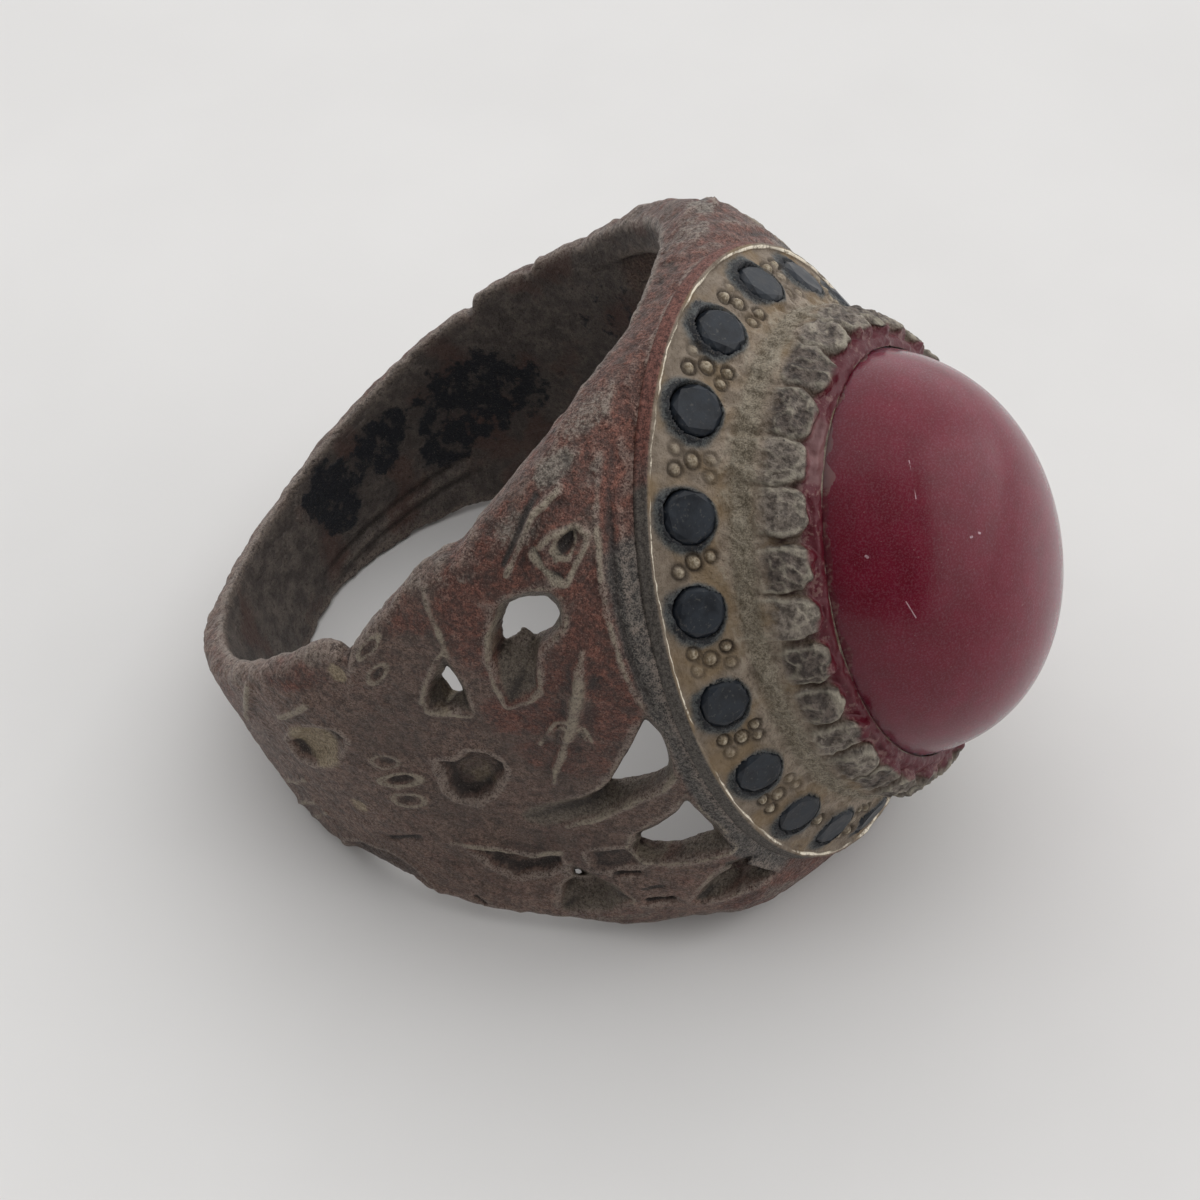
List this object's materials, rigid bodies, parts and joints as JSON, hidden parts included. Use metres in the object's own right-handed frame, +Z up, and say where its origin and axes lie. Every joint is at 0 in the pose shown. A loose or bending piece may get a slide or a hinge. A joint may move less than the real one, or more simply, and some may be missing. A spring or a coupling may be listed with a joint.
{
  "type": "cabochon ring",
  "caption": "Old cast copper-alloy finger ring with pierced, engraved shoulders, a gadrooned crown with small dark cut stones and a tall red glass cabochon.",
  "frame": {"origin": "on the surface that the ring rests on, below the middle of its box", "axes": "+Z up from that surface, -Y the way the main stone faces (it points up by about 22 degrees), +X across the finger hole"},
  "size_m": [0.0218, 0.03, 0.0204],
  "materials": {
    "cast_metal": "worn reddish brown patina",
    "crown_metal": "dull grey-yellow patina with dirt",
    "red_stone": "polished, finely scratched",
    "dark_stone": "faceted, dull with wear"
  },
  "bodies": {
    "root": {"ring_body": "cast_metal", "crown": "crown_metal", "cabochon": "red_stone", "accent_stone_01": "dark_stone", "accent_stone_02": "dark_stone", "accent_stone_03": "dark_stone", "accent_stone_04": "dark_stone", "accent_stone_05": "dark_stone", "accent_stone_06": "dark_stone", "accent_stone_07": "dark_stone", "accent_stone_08": "dark_stone", "accent_stone_09": "dark_stone", "accent_stone_10": "dark_stone", "accent_stone_11": "dark_stone", "accent_stone_12": "dark_stone", "accent_stone_13": "dark_stone", "accent_stone_14": "dark_stone", "accent_stone_15": "dark_stone", "accent_stone_16": "dark_stone", "accent_stone_17": "dark_stone", "accent_stone_18": "dark_stone"}
  },
  "joints": []
}
